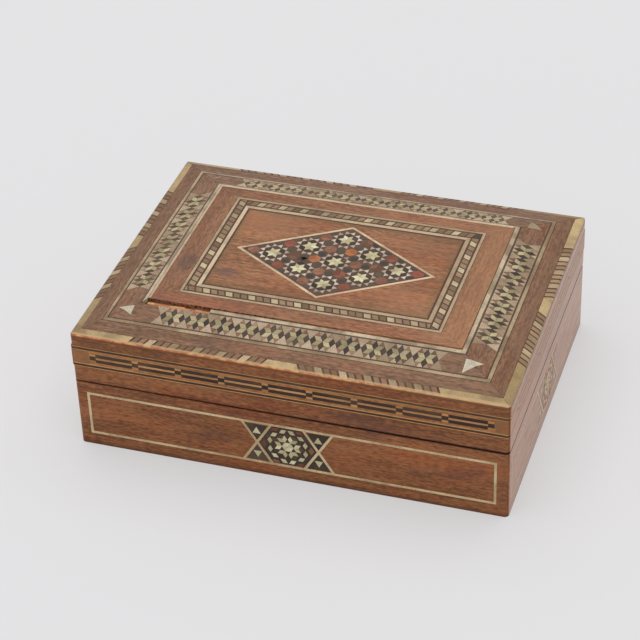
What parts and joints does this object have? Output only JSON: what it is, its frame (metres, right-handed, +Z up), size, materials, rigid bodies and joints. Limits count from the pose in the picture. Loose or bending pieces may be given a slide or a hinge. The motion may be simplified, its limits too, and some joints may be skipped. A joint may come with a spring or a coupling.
{
  "type": "inlaid wooden box",
  "caption": "Rectangular wooden box with a hinged, low hipped lid, string and marquetry borders and a diamond of inlaid stars.",
  "frame": {"origin": "on the supporting surface, under the middle of the box", "axes": "+Z up, +X along the long front face to the right, +Y from the front face to the hinged back"},
  "size_m": [0.16, 0.12, 0.0539],
  "materials": {
    "carcass": "plain",
    "veneer": "satin",
    "lid_veneer": "satin",
    "field": "satin",
    "centre": "satin",
    "string": "satin",
    "banding": "satin",
    "marquetry": "satin",
    "rope": "satin",
    "ground": "satin",
    "star": "satin",
    "lining": "matte",
    "brass": "aged"
  },
  "bodies": {
    "base": {"base_front_wall": "carcass", "base_right_wall": "carcass", "base_back_wall": "carcass", "base_left_wall": "carcass", "base_bottom_board": "carcass", "base_front_veneer": "veneer", "base_right_veneer": "veneer", "base_back_veneer": "veneer", "base_left_veneer": "veneer", "base_front_string_frame": "string", "base_right_string_frame": "string", "base_left_string_frame": "string", "base_front_star_panel": "ground", "base_right_star_panel": "ground", "base_left_star_panel": "ground", "base_lining": "lining", "hinge_left_base_leaf": "brass", "hinge_left_pin": "brass", "hinge_right_base_leaf": "brass", "hinge_right_pin": "brass"},
    "lid": {"lid_front_rail": "carcass", "lid_right_rail": "carcass", "lid_back_rail": "carcass", "lid_left_rail": "carcass", "lid_top_board": "carcass", "lid_front_veneer": "veneer", "lid_right_veneer": "veneer", "lid_back_veneer": "veneer", "lid_left_veneer": "veneer", "lid_front_edge_banding": "banding", "lid_right_edge_banding": "banding", "lid_back_edge_banding": "banding", "lid_left_edge_banding": "banding", "lid_front_banding": "banding", "lid_right_banding": "banding", "lid_left_banding": "banding", "lid_border_veneer": "lid_veneer", "lid_outer_string": "string", "lid_front_marquetry": "marquetry", "lid_right_marquetry": "marquetry", "lid_back_marquetry": "marquetry", "lid_left_marquetry": "marquetry", "lid_thick_string": "string", "lid_field_veneer": "field", "lid_rope_banding": "rope", "lid_centre_veneer": "centre", "lid_diamond_string": "string", "lid_star_ground": "ground", "lid_star_1": "star", "lid_star_2": "star", "lid_star_3": "star", "lid_star_4": "star", "lid_star_5": "star", "lid_star_6": "star", "lid_star_7": "star", "lid_star_8": "star", "lid_star_9": "star", "lid_lining": "lining", "hinge_left_lid_leaf": "brass", "hinge_right_lid_leaf": "brass"}
  },
  "joints": [
    {"name": "lid_hinge", "type": "hinge", "parent": "base", "child": "lid", "pos_m": [0, 0.058, 0.0283], "axis": [-1, 0, 0], "range_deg": [0, 102]}
  ]
}
